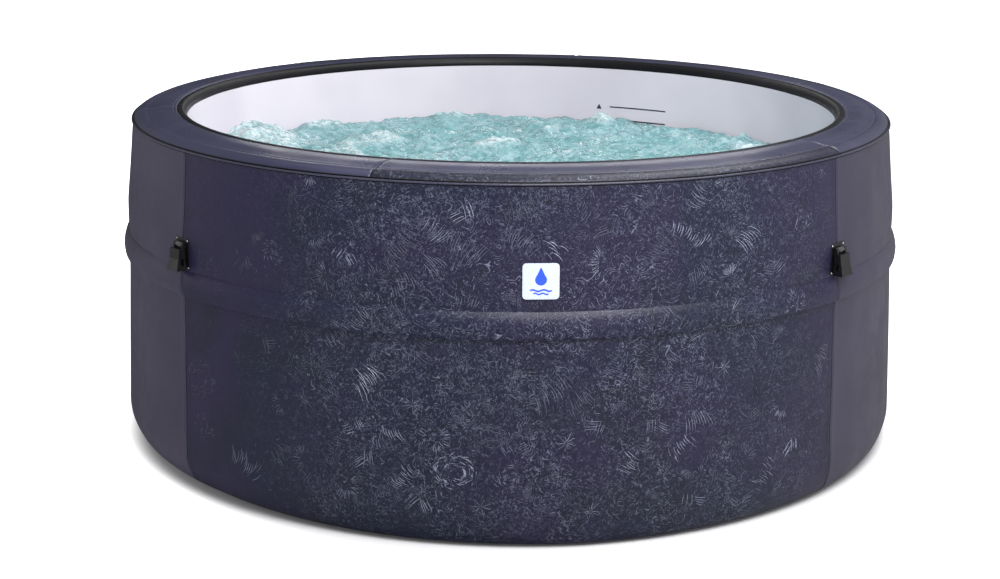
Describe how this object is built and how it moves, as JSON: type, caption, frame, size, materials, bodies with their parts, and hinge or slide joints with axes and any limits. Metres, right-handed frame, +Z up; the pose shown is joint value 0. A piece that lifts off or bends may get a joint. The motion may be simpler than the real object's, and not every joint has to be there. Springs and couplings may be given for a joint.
{
  "type": "inflatable hot tub",
  "caption": "Round inflatable hot tub with a leather-look air wall, padded rim, white liner, waist belt, cover clips, and a pump and heater unit behind it.",
  "frame": {"origin": "centre of the tub's underside, on the ground", "axes": "+Z up; -Y to the front of the tub, where the badge is; the pump unit stands behind it at +Y; +X to the right seen from the front"},
  "size_m": [1.6734, 2.0905, 0.7],
  "materials": {
    "cover_embossed": "satin embossed leather-look laminated PVC, dark indigo",
    "cover_smooth": "satin smooth leather-look laminated PVC, dark grey-indigo",
    "liner_white": "satin white PVC liner with a cool cast",
    "pvc_grey": "matt grey PVC sheet",
    "foam_grey": "closed-cell foam",
    "clip_black": "satin black moulded plastic",
    "patch_black": "glossy black reinforced PVC patch",
    "webbing_black": "woven black webbing",
    "badge_white": "gloss white with a plain blue water drop",
    "white_plastic": "satin white moulded plastic",
    "black_plastic": "matt black moulded plastic",
    "rubber_black": "matt black rubber",
    "filter_paper": "pleated filter fabric",
    "shell_grey": "fine-textured light grey moulded plastic",
    "shell_dark": "fine-textured dark grey moulded plastic",
    "panel_black": "gloss black control panel",
    "button_grey": "soft-touch grey key",
    "board_green": "circuit board",
    "motor_cast": "painted cast housing",
    "steel": "brushed stainless steel"
  },
  "bodies": {
    "tub": {"air_cells": "pvc_grey", "air_fitting": "white_plastic", "air_riser": "white_plastic", "badge_plate": "badge_white", "blower_housing": "black_plastic", "bubble_ring": "liner_white", "clip_patches": "patch_black", "clip_straps": "webbing_black", "control_board": "board_green", "control_panel": "panel_black", "cord_gland": "black_plastic", "drain_fitting": "black_plastic", "filter_housing": "white_plastic", "floor_pad": "foam_grey", "ground_sheet": "pvc_grey", "heater_tube": "steel", "liner_floor": "liner_white", "liner_wall": "liner_white", "outer_panel_front": "cover_embossed", "outer_panel_left": "cover_smooth", "outer_panel_rear": "cover_embossed", "outer_panel_right": "cover_smooth", "port_gaskets": "rubber_black", "pump_motor": "motor_cast", "pump_volute": "black_plastic", "return_fitting": "white_plastic", "return_nozzle": "white_plastic", "rim_inner_roll": "cover_smooth", "rim_panels": "cover_embossed", "rim_piping": "cover_smooth", "suction_fitting": "white_plastic", "unit_base": "shell_dark", "unit_body": "shell_grey", "unit_feet": "rubber_black", "unit_lid": "shell_dark", "unit_screws": "steel", "valve_body": "black_plastic", "waist_belt": "cover_embossed"},
    "filter_set": {"filter_cover": "white_plastic", "filter_cartridge": "filter_paper"},
    "clip_front_left": {"clip_front_left": "clip_black"},
    "clip_front_right": {"clip_front_right": "clip_black"},
    "clip_rear_left": {"clip_rear_left": "clip_black"},
    "clip_rear_right": {"clip_rear_right": "clip_black"},
    "valve_cap": {"valve_cap": "black_plastic"},
    "valve_plunger": {"valve_plunger": "white_plastic"},
    "drain_plug": {"drain_plug": "black_plastic"},
    "nut_suction": {"nut_suction": "black_plastic"},
    "nut_return": {"nut_return": "black_plastic"},
    "nut_air": {"nut_air": "black_plastic"},
    "pump_rotor": {"pump_rotor": "steel"},
    "blower_fan": {"blower_fan": "black_plastic"},
    "power_button": {"power_button": "button_grey"},
    "heat_button": {"heat_button": "button_grey"},
    "bubble_button": {"bubble_button": "button_grey"},
    "filter_button": {"filter_button": "button_grey"}
  },
  "joints": [
    {"name": "clip_front_left_swing", "type": "hinge", "parent": "tub", "child": "clip_front_left", "pos_m": [-0.63588, -0.53546, 0.506], "axis": [-0.6441, 0.7649, 0], "range_deg": [0, 130]},
    {"name": "clip_front_right_swing", "type": "hinge", "parent": "tub", "child": "clip_front_right", "pos_m": [0.63588, -0.53546, 0.506], "axis": [-0.6441, -0.7649, 0], "range_deg": [0, 130]},
    {"name": "clip_rear_right_swing", "type": "hinge", "parent": "tub", "child": "clip_rear_right", "pos_m": [0.63588, 0.53546, 0.506], "axis": [0.6441, -0.7649, 0], "range_deg": [0, 130]},
    {"name": "clip_rear_left_swing", "type": "hinge", "parent": "tub", "child": "clip_rear_left", "pos_m": [-0.63588, 0.53546, 0.506], "axis": [0.6441, 0.7649, 0], "range_deg": [0, 130]},
    {"name": "valve_cap_hinge", "type": "hinge", "parent": "tub", "child": "valve_cap", "pos_m": [-0.31824, 0.7683, 0.6273], "axis": [0.9239, 0.3827, 0], "range_deg": [0, 110]},
    {"name": "valve_plunger_press", "type": "slide", "parent": "tub", "child": "valve_plunger", "axis": [0.3827, -0.9239, 0], "range_m": [0, 0.0045], "stiffness_N_per_m": 300, "springref_m": -0.001},
    {"name": "drain_plug_pull", "type": "slide", "parent": "tub", "child": "drain_plug", "axis": [-0.3827, -0.9239, 0], "range_m": [0, 0.03]},
    {"name": "filter_pull", "type": "slide", "parent": "tub", "child": "filter_set", "axis": [0, -1, 0], "range_m": [0, 0.12]},
    {"name": "nut_suction_turn", "type": "hinge", "parent": "tub", "child": "nut_suction", "pos_m": [-0.072, 0.854, 0.15], "axis": [0, 1, 0], "continuous": true},
    {"name": "nut_air_turn", "type": "hinge", "parent": "tub", "child": "nut_air", "pos_m": [0, 0.854, 0.15], "axis": [0, 1, 0], "continuous": true},
    {"name": "nut_return_turn", "type": "hinge", "parent": "tub", "child": "nut_return", "pos_m": [0.072, 0.854, 0.15], "axis": [0, 1, 0], "continuous": true},
    {"name": "pump_spin", "type": "hinge", "parent": "tub", "child": "pump_rotor", "pos_m": [-0.072, 1.005, 0.15], "axis": [0, 1, 0], "continuous": true},
    {"name": "blower_spin", "type": "hinge", "parent": "tub", "child": "blower_fan", "pos_m": [0.06, 1.155, 0.25], "axis": [0, 1, 0], "continuous": true},
    {"name": "power_button_press", "type": "slide", "parent": "tub", "child": "power_button", "axis": [0, 0, -1], "range_m": [0, 0.002], "stiffness_N_per_m": 300, "springref_m": -0.001},
    {"name": "heat_button_press", "type": "slide", "parent": "tub", "child": "heat_button", "axis": [0, 0, -1], "range_m": [0, 0.002], "stiffness_N_per_m": 300, "springref_m": -0.001},
    {"name": "bubble_button_press", "type": "slide", "parent": "tub", "child": "bubble_button", "axis": [0, 0, -1], "range_m": [0, 0.002], "stiffness_N_per_m": 300, "springref_m": -0.001},
    {"name": "filter_button_press", "type": "slide", "parent": "tub", "child": "filter_button", "axis": [0, 0, -1], "range_m": [0, 0.002], "stiffness_N_per_m": 300, "springref_m": -0.001}
  ]
}
